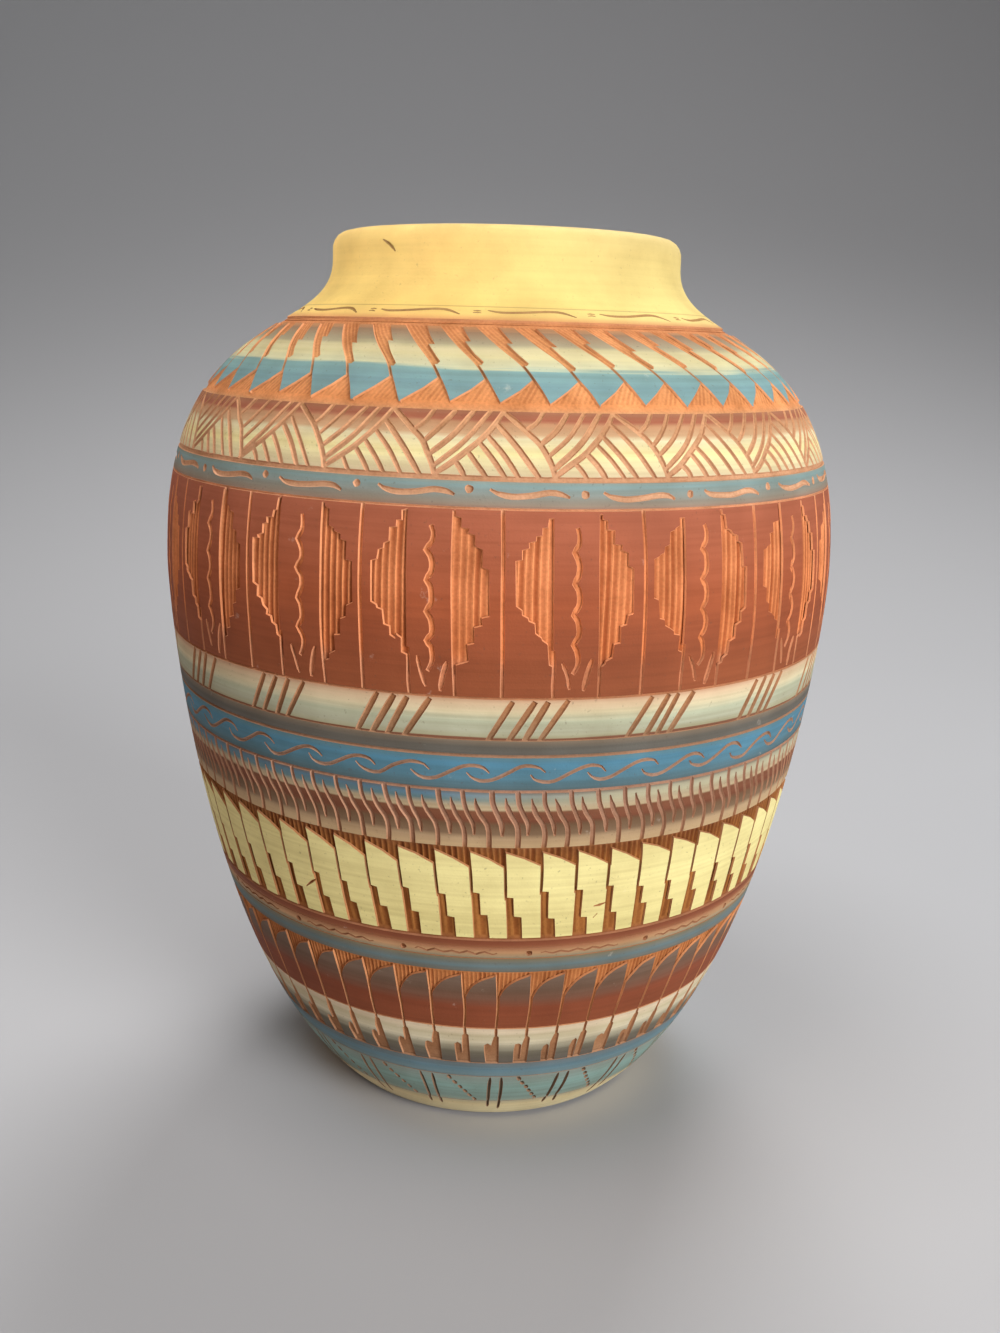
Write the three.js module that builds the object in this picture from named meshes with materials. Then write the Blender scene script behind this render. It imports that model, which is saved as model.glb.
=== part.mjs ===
// Etched pottery vase: a hollow body of red clay under painted bands of coloured slip.
// Each band is a thin ring of its own, and bare clay shows in the grooves between them.
// Millimetres, +Z up, origin at the middle of the flat underside of the foot.

import * as THREE from 'three';

// Outline of the painted wall, from the foot up to the rim
const footRadius = 46.7;
const footFlareDegrees = 48.6;
const footReach = 52;
const bellyRadius = 95.4;
const bellyHeight = 157;
const bellyReachBelow = 20;
const bellyReachAbove = 23.5;
const shoulderRadius = 72.8;
const shoulderRise = 58.6;
const shoulderSlopeDegrees = 52.6;
const shoulderReachBelow = 22.7;
const shoulderReachAbove = 15.8;
const neckRadius = 48.7;
const neckRise = 23.6;
const neckReach = 11.7;
const collarHeight = 2.8;

// Clay
const wallThickness = 7;
const floorThickness = 9;
const footEdge = 1.5;

// Slip coats
const coatThickness = 0.6;
const coatClearance = 0.3;
const bandJoint = 0.3;
const footMargin = 2.2;
const insideDrop = 6;

// Smoothness of the round
const sides = 40;
const lowerSteps = 9;
const shoulderSteps = 7;
const neckSteps = 5;
const lipSteps = 4;

// The bands from the foot up: width along the wall, slip colour, and the bare gap above the band
const bands = [
  { name: 'foot_ring_coat', width: 11.4, colour: '#c9b98c', gap: bandJoint },
  { name: 'foot_lattice_coat', width: 15, colour: '#6f9a9c', gap: bandJoint },
  { name: 'foot_blue_coat', width: 6.5, colour: '#5f8aa5', gap: bandJoint },
  { name: 'feather_root_coat', width: 14.7, colour: '#d8cfae', gap: 0.5 },
  { name: 'pointed_feather_coat', width: 19.6, colour: '#7f4029', gap: 1 },
  { name: 'grey_blue_ring_coat', width: 4.5, colour: '#6f8d99', gap: bandJoint },
  { name: 'tan_scroll_coat', width: 3.1, colour: '#b48a66', gap: bandJoint },
  { name: 'rust_ring_coat', width: 2.1, colour: '#a4583f', gap: 1 },
  { name: 'stair_feather_coat', width: 26.2, colour: '#ece29c', gap: 0.9 },
  { name: 'rib_coat', width: 15, colour: '#8a6a58', gap: 0.8 },
  { name: 'wave_coat', width: 8.4, colour: '#5b93b0', gap: 0.8 },
  { name: 'dark_ring_coat', width: 3.5, colour: '#5f5d55', gap: bandJoint },
  { name: 'stroke_group_coat', width: 10, colour: '#d6cfa6', gap: 0.6 },
  { name: 'stepped_panel_coat', width: 43, colour: '#a4533c', gap: 0.6 },
  { name: 'dash_and_dot_coat', width: 5.8, colour: '#7c9498', gap: 1.3 },
  { name: 'zigzag_coat', width: 15.3, colour: '#d5d3a2', gap: 1.8 },
  { name: 'shoulder_feather_coat', width: 25.9, colour: '#7fb0b4', gap: 3.4 },
  { name: 'neck_coat', width: 24.3, colour: '#f0d888', gap: 0 },
];
const clayColour = '#c4703c';

const point = (radius, height) => new THREE.Vector2(radius, height);

// A point that lies some way from another, at an angle from straight up
function leaning(from, degrees, reach) {
  const angle = THREE.MathUtils.degToRad(degrees);
  return point(from.x + reach * Math.sin(angle), from.y + reach * Math.cos(angle));
}

// The painted wall as a row of curves, over the lip and a little way down inside the mouth
const clayDepth = coatThickness + coatClearance;
const lipRadius = wallThickness / 2 + clayDepth;
const foot = point(footRadius, 0);
const belly = point(bellyRadius, bellyHeight);
const shoulder = point(shoulderRadius, belly.y + shoulderRise);
const neck = point(neckRadius, shoulder.y + neckRise);
const neckTop = point(neckRadius, neck.y + collarHeight);
const lipInside = point(neckRadius - 2 * lipRadius, neckTop.y);
const coatEnd = point(lipInside.x, lipInside.y - insideDrop);

const lowerWall = new THREE.CubicBezierCurve(
  foot,
  leaning(foot, footFlareDegrees, footReach),
  point(belly.x, belly.y - bellyReachBelow),
  belly,
);
const upperWall = new THREE.CubicBezierCurve(
  belly,
  point(belly.x, belly.y + bellyReachAbove),
  leaning(shoulder, -shoulderSlopeDegrees, -shoulderReachBelow),
  shoulder,
);
const neckSweep = new THREE.CubicBezierCurve(
  shoulder,
  leaning(shoulder, -shoulderSlopeDegrees, shoulderReachAbove),
  point(neck.x, neck.y - neckReach),
  neck,
);
const collar = new THREE.LineCurve(neck, neckTop);
const lip = new THREE.EllipseCurve(neckTop.x - lipRadius, neckTop.y, lipRadius, lipRadius, 0, Math.PI);
const insideMouth = new THREE.LineCurve(lipInside, coatEnd);

// Stations along the wall: where each one is, which way is out of the clay, and the length up to it
const stations = [];
function addStations(curve, steps) {
  const first = stations.length ? 1 : 0;
  for (let i = first; i <= steps; i++) {
    const place = curve.getPoint(i / steps);
    const along = curve.getTangent(i / steps);
    const last = stations.at(-1);
    const length = last ? last.length + place.distanceTo(last.place) : 0;
    stations.push({ place, out: point(along.y, -along.x), length });
  }
}
addStations(lowerWall, lowerSteps);
addStations(upperWall, shoulderSteps);
addStations(neckSweep, neckSteps);
addStations(collar, 1);
const bandedLength = stations.at(-1).length;
addStations(lip, lipSteps);
addStations(insideMouth, 1);
const coatedLength = stations.at(-1).length;

const below = (station, depth) => station.place.clone().addScaledVector(station.out, -depth);

// The point a given length along the wall and a given depth under its painted face
function wallPoint(length, depth) {
  const next = Math.max(1, stations.findIndex((station) => station.length >= length));
  const [a, b] = [stations[next - 1], stations[next]];
  const share = (length - a.length) / (b.length - a.length);
  return below(a, depth).lerp(below(b, depth), share);
}

// The wall at one depth, from one length to another, as a polyline
function wallLine(from, to, depth) {
  const between = stations.filter((station) => station.length > from && station.length < to);
  return [wallPoint(from, depth), ...between.map((station) => below(station, depth)), wallPoint(to, depth)];
}

// A profile turned about the vase's axis, with the axis stood up along Z
function turned(name, profile, colour, roughness) {
  const geometry = new THREE.LatheGeometry(profile, sides).rotateX(Math.PI / 2);
  const material = new THREE.MeshStandardMaterial({ color: colour, roughness, metalness: 0 });
  const mesh = new THREE.Mesh(geometry, material);
  mesh.name = name;
  return mesh;
}

// Clay body: flat foot, outer wall under the coats, rounded lip, inner wall and floor
function clayBody() {
  const outside = wallLine(0, coatedLength, clayDepth);
  const mouthEdge = outside.at(-1);
  const innerWall = stations
    .filter((station) => station.length < bandedLength)
    .map((station) => below(station, clayDepth + wallThickness))
    .filter((place) => place.y > floorThickness && place.y < mouthEdge.y)
    .reverse();
  const lowest = innerWall.at(-1);
  const floorEdge = point(lowest.x - (lowest.y - floorThickness), floorThickness);
  const profile = [
    point(0, 0),
    point(outside[0].x - footEdge, 0),
    ...outside,
    ...innerWall,
    floorEdge,
    point(0, floorThickness),
  ];
  return turned('clay_body', profile, clayColour, 0.9);
}

// Slip coat: a thin ring over one stretch of the wall
function slipCoat(name, from, to, colour) {
  const face = wallLine(from, to, 0);
  const back = wallLine(from, to, coatThickness).reverse();
  return turned(name, [...face, ...back, face[0].clone()], colour, 0.75);
}

// The bands share out the wall between the bare foot margin and the lip, in proportion to their widths.
// The topmost one also goes over the lip and down inside the mouth.
const vase = new THREE.Group();
vase.add(clayBody());
const stackWidth = bands.reduce((sum, band) => sum + band.width + band.gap, 0);
const stretch = (bandedLength - footMargin) / stackWidth;
let start = footMargin;
for (const band of bands) {
  const isTopmost = band === bands.at(-1);
  const end = isTopmost ? coatedLength : start + band.width * stretch;
  vase.add(slipCoat(band.name, start, end, band.colour));
  start = end + band.gap * stretch;
}

export default vase;
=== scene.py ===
"""Etched pottery vase: a thrown red clay body, bands of coloured slip painted round it,
and ornament cut through the slip so that the clay shows.
Metres, +Z up, the photographed side towards -Y. Drawings of the bands are in millimetres."""

import math
import random
from collections import defaultdict
from functools import partial
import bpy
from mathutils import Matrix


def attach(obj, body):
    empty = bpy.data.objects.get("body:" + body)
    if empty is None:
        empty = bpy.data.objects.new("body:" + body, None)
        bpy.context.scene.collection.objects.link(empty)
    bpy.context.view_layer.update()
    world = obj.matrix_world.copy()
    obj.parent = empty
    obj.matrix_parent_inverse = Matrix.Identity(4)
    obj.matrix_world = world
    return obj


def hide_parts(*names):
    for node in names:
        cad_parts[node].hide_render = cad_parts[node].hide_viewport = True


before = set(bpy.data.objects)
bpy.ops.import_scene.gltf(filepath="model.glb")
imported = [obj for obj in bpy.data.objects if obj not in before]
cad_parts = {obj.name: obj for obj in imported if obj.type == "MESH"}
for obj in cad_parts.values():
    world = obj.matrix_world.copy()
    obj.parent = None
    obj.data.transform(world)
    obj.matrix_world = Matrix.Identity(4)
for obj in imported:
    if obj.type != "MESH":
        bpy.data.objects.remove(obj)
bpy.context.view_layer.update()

from types import SimpleNamespace

import bpy
from mathutils import Vector, kdtree
from mathutils.geometry import delaunay_2d_cdt, interpolate_bezier, intersect_point_line

bpy.context.scene.view_settings.view_transform = "Standard"


# Outline of the wall
# The vase is thrown on a wheel, so one line turned about the axis gives all of its outside.
# It runs from the foot over belly, shoulder and neck, round the lip and a little way down inside.
# A reach is how far the curve holds its direction on that side of a point.
MM = 0.001
FOOT_RADIUS = 46.7
FOOT_FLARE = 48.6
FOOT_REACH = 52
BELLY_RADIUS = 95.4
BELLY_HEIGHT = 157
BELLY_REACH_BELOW = 20
BELLY_REACH_ABOVE = 23.5
BELLY_TO_SHOULDER = (-22.6, 58.6)
SHOULDER_SLOPE = -52.6
SHOULDER_REACH_BELOW = 22.7
SHOULDER_REACH_ABOVE = 15.8
SHOULDER_TO_NECK = (-24.1, 23.6)
NECK_REACH = 11.7
COLLAR_HEIGHT = 2.8
LIP_RADIUS = 4.4
LIP_STEPS = 24
INSIDE_DROP = 6.0
INSIDE_STEPS = 6
CURVE_STEPS = 160

foot = Vector((FOOT_RADIUS, 0))
belly = Vector((BELLY_RADIUS, BELLY_HEIGHT))
shoulder = belly + Vector(BELLY_TO_SHOULDER)
neck = shoulder + Vector(SHOULDER_TO_NECK)
collar = neck + Vector((0, COLLAR_HEIGHT))


def leaning(start, degrees, reach):
    """The point that lies some way from another, at an angle from straight up."""
    angle = math.radians(degrees)
    return start + reach * Vector((math.sin(angle), math.cos(angle)))


def lip_point(share):
    """A point of the half-round lip, from its outside at 0 to its inside at 1."""
    angle = share * math.pi
    return collar + LIP_RADIUS * Vector((math.cos(angle) - 1, math.sin(angle)))


above_foot = leaning(foot, FOOT_FLARE, FOOT_REACH)
below_belly = belly - Vector((0, BELLY_REACH_BELOW))
above_belly = belly + Vector((0, BELLY_REACH_ABOVE))
below_shoulder = leaning(shoulder, SHOULDER_SLOPE, -SHOULDER_REACH_BELOW)
above_shoulder = leaning(shoulder, SHOULDER_SLOPE, SHOULDER_REACH_ABOVE)
below_neck = neck - Vector((0, NECK_REACH))
wall = interpolate_bezier(foot, above_foot, below_belly, belly, CURVE_STEPS)
wall += interpolate_bezier(belly, above_belly, below_shoulder, shoulder, CURVE_STEPS)[1:]
wall += interpolate_bezier(shoulder, above_shoulder, below_neck, neck, CURVE_STEPS // 2)[1:]
wall += [lip_point(step / LIP_STEPS) for step in range(LIP_STEPS + 1)]
for step in range(1, INSIDE_STEPS + 1):
    wall.append(lip_point(1) - Vector((0, INSIDE_DROP * step / INSIDE_STEPS)))


# Fired red clay
# Open-grained earthenware, left bare wherever the slip is cut away. It is bright orange where a wide
# tool has gouged it, and slightly sandy. Painted shade dulls it in fine scratches and browns it down
# in the flutes, and painted light, with a pale burr, lightens the sides of the cuts.
def colour(hex_value):
    """An sRGB hex colour as linear red, green, blue and alpha."""
    channels = [int(hex_value[k:k + 2], 16) / 255 for k in (1, 3, 5)]
    return [c / 12.92 if c <= 0.04045 else ((c + 0.055) / 1.055) ** 2.4 for c in channels] + [1]


def add_node(tree, kind, inputs=None, **settings):
    """Adds a node with its settings, and sets or links its inputs, named or numbered."""
    node = tree.nodes.new(kind)
    for setting, value in settings.items():
        setattr(node, setting, value)
    for socket, value in (inputs or {}).items():
        if isinstance(value, bpy.types.Node):
            value = next(output for output in value.outputs if output.enabled)
        if isinstance(value, bpy.types.NodeSocket):
            tree.links.new(value, node.inputs[socket])
        else:
            node.inputs[socket].default_value = value
    return node


def new_material(name):
    """An empty node material, and the way to add a node to it."""
    material = bpy.data.materials.new(name)
    material.use_nodes = True
    material.node_tree.nodes.clear()
    return material, partial(add_node, material.node_tree)


def set_stops(ramp, stops):
    """Gives a colour ramp its stops, as shares and hex colours."""
    elements = ramp.color_ramp.elements
    while len(elements) < len(stops):
        elements.new(1)
    for element, (share, hex_value) in zip(elements, stops):
        element.position = share
        element.color = colour(hex_value)


# A Mix node for colours: its settings, and the numbers of its two colour inputs
BLEND = {"data_type": "RGBA"}
STAIN = {"data_type": "RGBA", "blend_type": "MULTIPLY"}
MIX_FIRST, MIX_SECOND = 6, 7


def stained(add, tone, pattern, share, stops):
    """A tone darkened by a pattern, which takes its stains from the stops of a colour ramp."""
    stain = add("ShaderNodeValToRGB", {"Fac": pattern})
    set_stops(stain, stops)
    return add("ShaderNodeMix", {"Factor": share, MIX_FIRST: tone, MIX_SECOND: stain}, **STAIN)


CLAY_INSIDE = "#b86a42"
CLAY_FLUTE_SHADE = "#b08a70"
CLAY_BURR_AND_LIGHT = "#f0b48c"
BURR_AND_LIGHT_SHARE = 0.2
# The tone that the cuts lay bare, by height in metres. The foot scratches, the partings and the
# quills are darkened with painted shade.
CLAY_AND_SHADE_BY_HEIGHT = [
    # painted shade: the foot scratches are greyed and darkened
    (0, "#6f6453"), (0.0285, "#675a4a"),  # scratches of the foot
    (0.0295, "#a57a59"), (0.061, "#d08852"),  # feather roots and points
    (0.068, "#875432"), (0.0725, "#93593c"),  # ripple of the tan ring
    (0.0745, "#b0733b"), (0.0872, "#ae713a"),  # stair gouges
    # painted shade: the partings are darkened in their narrow cuts
    (0.0882, "#845a2c"), (0.0928, "#845a2c"),  # partings above them
    (0.094, "#af733a"), (0.0992, "#9e663a"),  # saw teeth above the stairs
    (0.101, "#a77c60"), (0.1145, "#af8670"),  # ribs
    (0.1158, "#a88b7b"),  # waves
    (0.129, "#a17d5e"), (0.138, "#bc845a"),  # stroke groups
    (0.1395, "#cc8660"), (0.1455, "#d48b64"),  # ruled lines of the panels
    (0.149, "#ec915b"), (0.18, "#f5a06c"),  # gouged columns
    (0.183, "#e8b894"),  # dashes and dots
    (0.188, "#daa781"), (0.2025, "#d8a57a"),  # zigzag
    (0.204, "#ec9c61"), (0.2098, "#eba770"),  # saw teeth of the shoulder
    # painted shade: the quills are darkened in their fine cuts
    (0.2104, "#a87b51"), (0.2119, "#a87b51"),  # quills
    (0.2126, "#e7a96f"), (0.2212, "#da915c"),  # gouges of the shoulder
    (0.2228, "#ca885a"), (0.2242, "#b39257"),  # scroll of the neck
]
CLAY_TOP = 0.247
# Sizes in metres; the grit is drawn about three times as coarse as it is, so that it shows
CLAY_PATCH = 0.009
CLAY_GRIT = 0.0007
GRIT_SHARE = 0.45
TOOL_CHATTER = 0.0012
CHATTER_DEPTH = 0.0003

clay, add = new_material("fired_red_clay")
coords = add("ShaderNodeTexCoord").outputs["Object"]
inside, hollow, side = (
    add("ShaderNodeAttribute", attribute_name=name).outputs["Fac"]
    for name in ("inside", "hollow", "cut"))
patches, grit, chatter = (
    add("ShaderNodeTexNoise", {"Vector": coords, "Scale": 1 / size, "Detail": detail})
    for size, detail in ((CLAY_PATCH, 4), (CLAY_GRIT, 2), (TOOL_CHATTER, 3)))
height = add("ShaderNodeSeparateXYZ", {"Vector": coords}).outputs["Z"]
height_share = add("ShaderNodeMath", {0: height, 1: CLAY_TOP}, operation="DIVIDE")
outside_tone = add("ShaderNodeValToRGB", {"Fac": height_share})
set_stops(outside_tone, [(place / CLAY_TOP, tone) for place, tone in CLAY_AND_SHADE_BY_HEIGHT])
tone = add("ShaderNodeMix", {
    "Factor": inside, MIX_FIRST: outside_tone, MIX_SECOND: colour(CLAY_INSIDE)}, **BLEND)
tone = stained(add, tone, patches, 1.0, [(0.3, "#d8d0c8"), (0.68, "#ffffff")])
# Painted shade: the deeper the flute under a point, the browner its clay.
flute_shade_share = add("ShaderNodeMapRange", {"Value": hollow, "From Min": 0.3, "To Max": 0.9})
tone = add("ShaderNodeMix", {
    "Factor": flute_shade_share, MIX_FIRST: tone, MIX_SECOND: colour(CLAY_FLUTE_SHADE)}, **STAIN)
tone = stained(add, tone, grit, GRIT_SHARE, [(0.3, "#d6d0c8"), (0.6, "#ffffff")])
# Painted light and a pale burr: the sides of the cuts are drawn towards a pale tone.
side_share = add("ShaderNodeMath", {0: side, 1: BURR_AND_LIGHT_SHARE}, operation="MULTIPLY")
tone = add("ShaderNodeMix", {
    "Factor": side_share, MIX_FIRST: tone, MIX_SECOND: colour(CLAY_BURR_AND_LIGHT)}, **BLEND)
bump = add("ShaderNodeBump", {"Strength": 0.6, "Distance": CHATTER_DEPTH, "Height": chatter})
shader = add("ShaderNodeBsdfPrincipled", {
    "Base Color": tone, "Roughness": 0.9, "Specular IOR Level": 0.15, "Normal": bump})
add("ShaderNodeOutputMaterial", {"Surface": shader})


# Laying on the wall
# A band is drawn flat first, as it would be on paper: x is the angle round the vase, y the length
# along its wall and z the height off its face. This tree lays a flat sheet on the turned wall, as
# slip lies on clay, and lets it wander sideways a little, as a hand does.
WELD_DISTANCE = 0.00002
WANDER_SIZE = 0.022
LEAST_RADIUS = 0.01
SHARP_EDGE = math.radians(38)
LAY_INPUTS = (
    ("Sheet", "Geometry"), ("Line", "Object"), ("Finish", "Material"), ("Clay", "Material"),
    ("Hand Wander", "Float"), ("Wander Size", "Float"), ("Weld Distance", "Float"),
)

lay_tree = bpy.data.node_groups.new("lay_on_wall", "GeometryNodeTree")
for name, kind in LAY_INPUTS:
    lay_tree.interface.new_socket(name, in_out="INPUT", socket_type="NodeSocket" + kind)
lay_tree.interface.new_socket("Laid", in_out="OUTPUT", socket_type="NodeSocketGeometry")

add = partial(add_node, lay_tree)
given = add("NodeGroupInput").outputs
flat = add("ShaderNodeSeparateXYZ", {"Vector": add("GeometryNodeInputPosition")}).outputs
line_info = add("GeometryNodeObjectInfo", {"Object": given["Line"]}).outputs
on_line = add("GeometryNodeSampleCurve", {
    "Curves": line_info["Geometry"], "Length": flat["Y"]}, mode="LENGTH").outputs
outward = add("ShaderNodeVectorMath", {0: (0, 1, 0), 1: on_line["Tangent"]}, operation="CROSS_PRODUCT")
lifted = add("ShaderNodeVectorMath", {
    0: outward, 1: flat["Z"], 2: on_line["Position"]}, operation="MULTIPLY_ADD")
front_turn = add("ShaderNodeMath", {0: flat["X"], 1: math.pi / 2}, operation="SUBTRACT")
plain_place = add("ShaderNodeVectorRotate", {"Vector": lifted, "Axis": (0, 0, 1), "Angle": front_turn})
wander_scale = add("ShaderNodeMath", {0: 1.0, 1: given["Wander Size"]}, operation="DIVIDE")
wander_noise = add("ShaderNodeTexNoise", {"Vector": plain_place, "Scale": wander_scale, "Detail": 1})
wander_side = add("ShaderNodeMath", {0: wander_noise, 1: 0.5}, operation="SUBTRACT")
wander_reach = add("ShaderNodeMath", {0: wander_side, 1: given["Hand Wander"]}, operation="MULTIPLY")
line_radius = add("ShaderNodeSeparateXYZ", {"Vector": on_line["Position"]}).outputs["X"]
safe_radius = add("ShaderNodeMath", {0: line_radius, 1: LEAST_RADIUS}, operation="MAXIMUM")
wander_turn = add("ShaderNodeMath", {0: wander_reach, 1: safe_radius}, operation="DIVIDE")
full_turn = add("ShaderNodeMath", {0: front_turn, 1: wander_turn}, operation="ADD")
place = add("ShaderNodeVectorRotate", {"Vector": lifted, "Axis": (0, 0, 1), "Angle": full_turn})
laid = add("GeometryNodeSetPosition", {"Geometry": given["Sheet"], "Position": place})
welded = add("GeometryNodeMergeByDistance", {"Geometry": laid, "Distance": given["Weld Distance"]})
rounded = add("GeometryNodeSetShadeSmooth", {"Geometry": welded, "Shade Smooth": True})
edge_angle = add("GeometryNodeInputMeshEdgeAngle")
is_sharp = add("ShaderNodeMath", {0: edge_angle, 1: SHARP_EDGE}, operation="GREATER_THAN")
creased = add("GeometryNodeSetShadeSmooth", {
    "Geometry": rounded, "Selection": is_sharp, "Shade Smooth": False}, domain="EDGE")
real = add("GeometryNodeRealizeInstances", {"Geometry": creased})
painted = add("GeometryNodeSetMaterial", {"Geometry": real, "Material": given["Finish"]})
is_cut = add("GeometryNodeInputNamedAttribute", {"Name": "cut"}, data_type="BOOLEAN")
finished = add("GeometryNodeSetMaterial", {
    "Geometry": painted, "Selection": is_cut, "Material": given["Clay"]})
add("NodeGroupOutput", {"Laid": finished})


def line_object(name, line):
    """A line of radius and height, in millimetres, as a curve in the XZ plane."""
    data = bpy.data.curves.new(name, "CURVE")
    data.dimensions = "3D"
    spline = data.splines.new("POLY")
    spline.points.add(len(line) - 1)
    for point, (radius, height) in zip(spline.points, line):
        point.co = (radius * MM, 0, height * MM, 1)
    made = bpy.data.objects.new(name, data)
    bpy.context.scene.collection.objects.link(made)
    return made


def lay(name, sheet, line, finish, wander=0.0):
    """Lays a flat sheet on a turned line, as a plain mesh that stands for the node of that name."""
    piece = bpy.data.objects.new(name + "_piece", sheet)
    bpy.context.scene.collection.objects.link(piece)
    modifier = piece.modifiers.new("lay_on_wall", "NODES")
    modifier.node_group = lay_tree
    values = {"Line": line, "Finish": finish, "Clay": clay, "Hand Wander": wander * MM,
              "Wander Size": WANDER_SIZE, "Weld Distance": WELD_DISTANCE}
    for socket in lay_tree.interface.items_tree:
        if socket.name in values:
            modifier[socket.identifier] = values[socket.name]
    depsgraph = bpy.context.evaluated_depsgraph_get()
    mesh = bpy.data.meshes.new_from_object(
        piece.evaluated_get(depsgraph), preserve_all_data_layers=True, depsgraph=depsgraph)
    piece.modifiers.remove(modifier)
    piece.data = mesh
    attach(piece, "root")
    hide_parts(name)
    return piece


# Clay body
# One hollow piece of red clay, thrown on a wheel: a flat foot, a wall about 7 mm thick and a rounded
# lip. Where the ornament takes the slip off in patches, a loop tool has left the clay fluted.
SLIP_DEPTH = 0.5
INNER_DEPTH = 7.9
INNER_POINTS = 2 * CURVE_STEPS + 60
FLOOR_HEIGHT = 9.0
FLOOR_CORNER = 3
CORNER_GAP = 1
FOOT_FLAT_RADIUS = 44.8
FOOT_EDGE = 1
FOOT_EDGE_RISE = 0.1


def point_at(line, length):
    """The point of a line at a given length along it."""
    for a, b in zip(line, line[1:]):
        piece = (b - a).length
        if length <= piece:
            return a.lerp(b, length / piece)
        length -= piece
    return line[-1]


def place_on(line, spot):
    """The length along a line up to its point nearest to a spot."""
    nearest = (math.inf, 0)
    travelled = 0
    for a, b in zip(line, line[1:]):
        share = min(max(intersect_point_line(spot, a, b)[1], 0), 1)
        piece = (b - a).length
        nearest = min(nearest, ((a.lerp(b, share) - spot).length, travelled + share * piece))
        travelled += piece
    return nearest[1]


def sunk(line, depth):
    """The same line, sunk by a depth into the clay."""
    ends = [line[0]] + line + [line[-1]]
    sunken = []
    for before, here, after in zip(ends, line, ends[2:]):
        along = (after - before).normalized()
        sunken.append(here - depth * Vector((along.y, -along.x)))
    return sunken


def band_of(node):
    """Where a slip coat of the frame lies: its edges along the wall, its width and its mean girth."""
    rings = {(round(math.hypot(v.co.x, v.co.y) / MM, 2), round(v.co.z / MM, 2))
             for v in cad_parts[node].data.vertices}
    lengths = [place_on(wall, Vector(ring)) for ring in rings]
    low, high = min(lengths), max(lengths)
    girth = 2 * math.pi * point_at(wall, (low + high) / 2).x
    return SimpleNamespace(node=node, low=low, high=high, width=high - low, girth=girth)


outer_line = sunk(wall, SLIP_DEPTH)
mouth_edge = outer_line[-1]
inner_line = [point for point in sunk(wall, INNER_DEPTH)[:INNER_POINTS]
              if FLOOR_HEIGHT + CORNER_GAP < point.y < mouth_edge.y - CORNER_GAP]
inner_line.reverse()
floor_edge = Vector((inner_line[-1].x - FLOOR_CORNER, FLOOR_HEIGHT))
floor_middle = Vector((0, FLOOR_HEIGHT))
foot_edge = Vector((FOOT_FLAT_RADIUS + FOOT_EDGE, FOOT_EDGE_RISE))
clay_line = [Vector((0, 0)), Vector((FOOT_FLAT_RADIUS, 0)), foot_edge]
clay_line += outer_line + inner_line + [floor_edge, floor_middle]

PLAIN_COLUMNS = 180
CLAY_ROW = 4.0
ROW_GAP = 0.5
LIP_ROW = 1.2
LIP_BEFORE = 13
LIP_BEYOND = 6
LIP_GAP = 1
FLUTE_POINTS = 4
FLUTE_RUN_OUT = 0.8
FLUTE_SHARES = (0.45, 1)
DEEPEST_FLUTE = 0.4
SHALLOW = 0.35
ALL_OVER = [1]
UNDER_COLUMNS = 2 * [SHALLOW] + 6 * [1] + 6 * [SHALLOW] + 6 * [1]
CLAY_WANDER = 1.2

# Fluted stretches: from and to along the wall, flutes round the vase, their lean in degrees, their
# depth, and the share of it that each one in turn is cut to
pointed = band_of("pointed_feather_coat")
stairs = band_of("stair_feather_coat")
panel = band_of("stepped_panel_coat")
feathers = band_of("shoulder_feather_coat")
fluted = [
    (pointed.high - 10, pointed.high + 0.4, 448, 0, 0.3, ALL_OVER),
    (stairs.low - 0.4, stairs.low + 15, 252, -4, 0.3, ALL_OVER),
    (stairs.high - 6.5, stairs.high + 0.5, 378, -3, DEEPEST_FLUTE, ALL_OVER),
    (panel.low + 4, panel.high - 0.3, 360, 0, DEEPEST_FLUTE, UNDER_COLUMNS),
    (feathers.low - 0.5, feathers.low + 8, 405, 26, 0.14, ALL_OVER),
    (feathers.low + 10, feathers.high + 0.8, 360, -37, 0.16, ALL_OVER),
]


def stitched(lower, upper):
    """Triangles between two rings of vertices that may have different counts."""
    faces = []
    i = j = 0
    while i < len(lower) or j < len(upper):
        lower_next = i < len(lower) and (i + 1) / len(lower) <= (j + 1) / len(upper)
        a, b = lower[i % len(lower)], upper[j % len(upper)]
        if j == len(upper) or lower_next:
            faces.append((a, lower[(i + 1) % len(lower)], b))
            i += 1
        else:
            faces.append((a, upper[(j + 1) % len(upper)], b))
            j += 1
    return faces


def on_clay(length):
    """The length along the clay's own line, under a length along the painted wall."""
    return place_on(clay_line, point_at(outer_line, length))


def even_steps(start, end, step):
    """Lengths from start to end, both included, in even steps."""
    count = max(1, math.ceil((end - start) / step))
    return [start + (end - start) * k / count for k in range(count + 1)]


def plain_rows(start, end, step=CLAY_ROW):
    """Rows of the clay that have no flutes."""
    return [(length, PLAIN_COLUMNS, 0, None, 0) for length in even_steps(start, end, step)]


# Each row: length along the clay, points round it, turn, depths of its flutes and their strength.
# The hand that works a piece draws from a fixed seed of its own.
hand = random.Random(11)
clay_rows = []
reached = 0.0
for start, end, flutes, lean, deepest, pattern in fluted:
    low, high = on_clay(start), on_clay(end)
    clay_rows += plain_rows(reached, low - ROW_GAP)
    depths = [hand.uniform(*FLUTE_SHARES) * deepest * pattern[k % len(pattern)] for k in range(flutes)]
    tilt = math.tan(math.radians(lean)) / point_at(clay_line, (low + high) / 2).x
    for length in [low] + even_steps(low + FLUTE_RUN_OUT, high - FLUTE_RUN_OUT, CLAY_ROW) + [high]:
        strength = 0 if length in (low, high) else 1
        clay_rows.append((length, flutes * FLUTE_POINTS, (length - low) * tilt, depths, strength))
    reached = high + ROW_GAP
lip_end = place_on(clay_line, outer_line[-INSIDE_STEPS - 1])
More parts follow.
